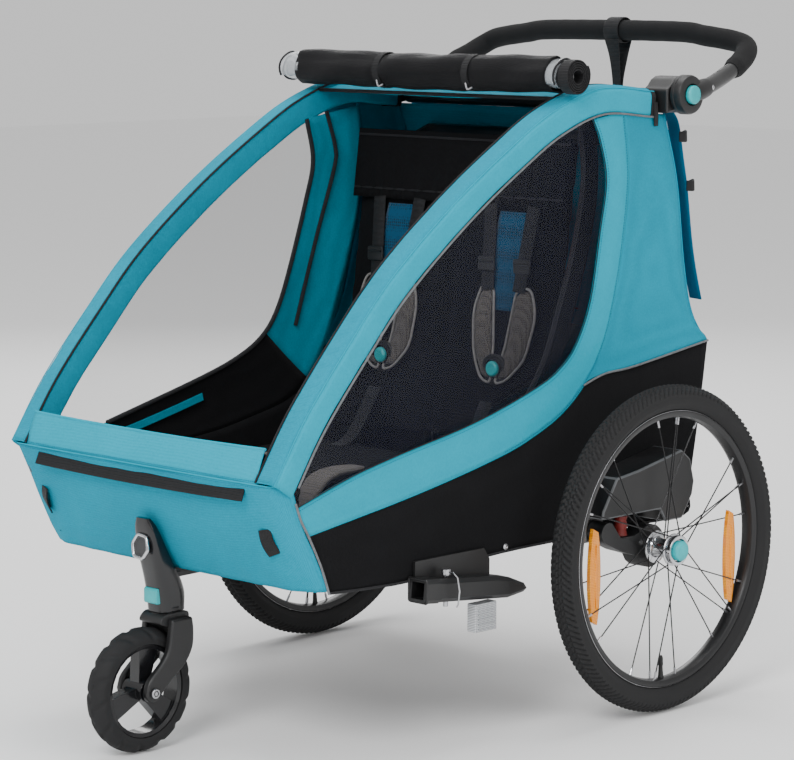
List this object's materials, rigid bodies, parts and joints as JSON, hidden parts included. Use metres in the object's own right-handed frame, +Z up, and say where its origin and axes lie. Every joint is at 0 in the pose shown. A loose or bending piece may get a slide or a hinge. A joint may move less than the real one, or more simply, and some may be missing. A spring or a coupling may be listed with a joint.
{
  "type": "child bicycle trailer",
  "caption": "Folding child bicycle trailer with a fabric cabin on an arched frame, spoked side wheels, a swivelling front wheel and a tilting push handlebar.",
  "frame": {"origin": "under the middle of the bounding box, on the ground under the wheels", "axes": "+Z up, -Y towards the nose and the front wheel, +X towards the left wheel, which carries the drawbar receiver"},
  "size_m": [0.823, 1.14, 1.0328],
  "materials": {
    "teal_fabric": "woven polyester, matt",
    "black_fabric": "woven polyester, matt",
    "grey_padding": "padded knit mesh",
    "clear_film": "lightly smoked clear film",
    "black_frame": "black powder coat",
    "hub_metal": "polished hub, dark spokes",
    "plated_steel": "zinc plated",
    "black_plastic": "fine moulded texture",
    "gloss_black_plastic": "glossy moulding",
    "teal_plastic": "satin moulding",
    "tyre_rubber": "treaded rubber",
    "grip_foam": "closed-cell foam",
    "elastomer": "cast polyurethane",
    "reflector": "clear prismatic"
  },
  "bodies": {
    "chassis": {"left_rail": "black_frame", "right_rail": "black_frame", "front_cross_tube": "black_frame", "axle_cross_tube": "black_frame", "rear_cross_tube": "black_frame", "floor_panel": "black_fabric", "seat_base": "black_fabric", "front_panel": "teal_fabric", "left_side_panel": "teal_fabric", "right_side_panel": "teal_fabric", "left_window": "clear_film", "right_window": "clear_film", "left_lower_side": "black_fabric", "right_lower_side": "black_fabric", "rear_panel": "teal_fabric", "lower_rear_panel": "black_fabric", "left_suspension_housing": "black_plastic", "right_suspension_housing": "black_plastic", "left_elastomer": "elastomer", "right_elastomer": "elastomer", "drawbar_receiver": "black_plastic", "side_reflector": "reflector", "front_bracket": "black_plastic"},
    "backrest": {"seat_back": "black_fabric", "left_harness": "grey_padding", "right_harness": "grey_padding"},
    "arch": {"left_arch_tube": "black_frame", "right_arch_tube": "black_frame", "left_arch_sleeve": "teal_fabric", "right_arch_sleeve": "teal_fabric", "top_cross_tube": "black_frame", "cover_roll": "black_fabric", "roof_panel": "teal_fabric", "left_handle_socket": "black_plastic", "right_handle_socket": "black_plastic"},
    "rear_support": {"rear_frame": "black_frame"},
    "handle": {"handlebar": "black_frame", "handlebar_grip": "grip_foam"},
    "strap": {"wrist_strap": "black_fabric"},
    "left_tilt_release": {"left_tilt_button": "teal_plastic"},
    "left_buckle_release": {"left_buckle_button": "teal_plastic"},
    "left_swing": {"left_swing_arm": "black_frame"},
    "left_wheel": {"left_tyre": "tyre_rubber", "left_rim": "black_frame", "left_hub_and_spokes": "hub_metal"},
    "left_wheel_release": {"left_hub_button": "teal_plastic"},
    "right_tilt_release": {"right_tilt_button": "teal_plastic"},
    "right_buckle_release": {"right_buckle_button": "teal_plastic"},
    "right_swing": {"right_swing_arm": "black_frame"},
    "right_wheel": {"right_tyre": "tyre_rubber", "right_rim": "black_frame", "right_hub_and_spokes": "hub_metal"},
    "right_wheel_release": {"right_hub_button": "teal_plastic"},
    "front_release": {"front_release_button": "teal_plastic"},
    "caster": {"caster_fork": "black_plastic", "front_axle_bolt": "plated_steel"},
    "front_spin": {"front_wheel": "gloss_black_plastic", "front_tyre": "tyre_rubber"},
    "lock": {"lock_pin": "plated_steel"},
    "parking_brake": {"brake_pedal": "black_plastic"}
  },
  "joints": [
    {"name": "fold", "type": "hinge", "parent": "chassis", "child": "arch", "pos_m": [0, -0.376, 0.31], "axis": [-1, 0, 0], "range_deg": [0, 38], "deforming": ["left_side_panel", "right_side_panel", "left_window", "right_window", "left_lower_side", "right_lower_side", "rear_panel", "lower_rear_panel", "front_panel"]},
    {"name": "rear_fold", "type": "hinge", "parent": "chassis", "child": "rear_support", "pos_m": [0, 0.385, 0.31], "axis": [1, 0, 0], "range_deg": [0, 62]},
    {"name": "seat_fold", "type": "hinge", "parent": "chassis", "child": "backrest", "pos_m": [0, 0.101, 0.376], "axis": [1, 0, 0], "range_deg": [0, 83]},
    {"name": "handle_tilt", "type": "hinge", "parent": "arch", "child": "handle", "pos_m": [0, 0.35, 0.921], "axis": [1, 0, 0], "range_deg": [-75, 70]},
    {"name": "strap_hang", "type": "hinge", "parent": "handle", "child": "strap", "pos_m": [0, 0.5489, 1.01175], "axis": [1, 0, 0], "range_deg": [-70, 75]},
    {"name": "left_tilt_press", "type": "slide", "parent": "handle", "child": "left_tilt_release", "axis": [-1, 0, 0], "range_m": [0, 0.0035], "stiffness_N_per_m": 400, "springref_m": -0.002},
    {"name": "left_buckle_press", "type": "slide", "parent": "backrest", "child": "left_buckle_release", "axis": [0, 1, 0], "range_m": [0, 0.003], "stiffness_N_per_m": 400, "springref_m": -0.002},
    {"name": "left_suspension", "type": "hinge", "parent": "chassis", "child": "left_swing", "pos_m": [0, 0.14, 0.279], "axis": [1, 0, 0], "range_deg": [0, 8], "stiffness_Nm_per_rad": 60, "springref_deg": -11.46, "deforming": ["left_elastomer"]},
    {"name": "left_wheel_spin", "type": "hinge", "parent": "left_swing", "child": "left_wheel", "pos_m": [0, 0.237, 0.2475], "axis": [1, 0, 0], "continuous": true},
    {"name": "left_hub_press", "type": "slide", "parent": "left_wheel", "child": "left_wheel_release", "axis": [-1, 0, 0], "range_m": [0, 0.003], "stiffness_N_per_m": 400, "springref_m": -0.002},
    {"name": "right_tilt_press", "type": "slide", "parent": "handle", "child": "right_tilt_release", "axis": [1, 0, 0], "range_m": [0, 0.0035], "stiffness_N_per_m": 400, "springref_m": -0.002},
    {"name": "right_buckle_press", "type": "slide", "parent": "backrest", "child": "right_buckle_release", "axis": [0, 1, 0], "range_m": [0, 0.003], "stiffness_N_per_m": 400, "springref_m": -0.002},
    {"name": "right_suspension", "type": "hinge", "parent": "chassis", "child": "right_swing", "pos_m": [0, 0.14, 0.279], "axis": [1, 0, 0], "range_deg": [0, 8], "stiffness_Nm_per_rad": 60, "springref_deg": -11.46, "deforming": ["right_elastomer"]},
    {"name": "right_wheel_spin", "type": "hinge", "parent": "right_swing", "child": "right_wheel", "pos_m": [0, 0.237, 0.2475], "axis": [1, 0, 0], "continuous": true},
    {"name": "right_hub_press", "type": "slide", "parent": "right_wheel", "child": "right_wheel_release", "axis": [1, 0, 0], "range_m": [0, 0.003], "stiffness_N_per_m": 400, "springref_m": -0.002},
    {"name": "front_release_press", "type": "slide", "parent": "chassis", "child": "front_release", "axis": [0, 1, 0], "range_m": [0, 0.004], "stiffness_N_per_m": 400, "springref_m": -0.002},
    {"name": "caster_swivel", "type": "hinge", "parent": "chassis", "child": "caster", "pos_m": [0, -0.427, 0.198], "axis": [0, 0, 1], "continuous": true},
    {"name": "front_wheel_spin", "type": "hinge", "parent": "caster", "child": "front_spin", "pos_m": [0, -0.48, 0.09], "axis": [1, 0, 0], "continuous": true},
    {"name": "lock_pull", "type": "slide", "parent": "chassis", "child": "lock", "axis": [0, 0, 1], "range_m": [0, 0.05]},
    {"name": "brake_press", "type": "hinge", "parent": "chassis", "child": "parking_brake", "pos_m": [0, 0.419, 0.255], "axis": [1, 0, 0], "range_deg": [-25, 0]}
  ],
  "couplings": [
    {"joint": "rear_fold", "follows": "fold", "ratio": 1.6316},
    {"joint": "seat_fold", "follows": "fold", "ratio": 2.1842},
    {"joint": "strap_hang", "follows": "handle_tilt", "ratio": -1}
  ]
}
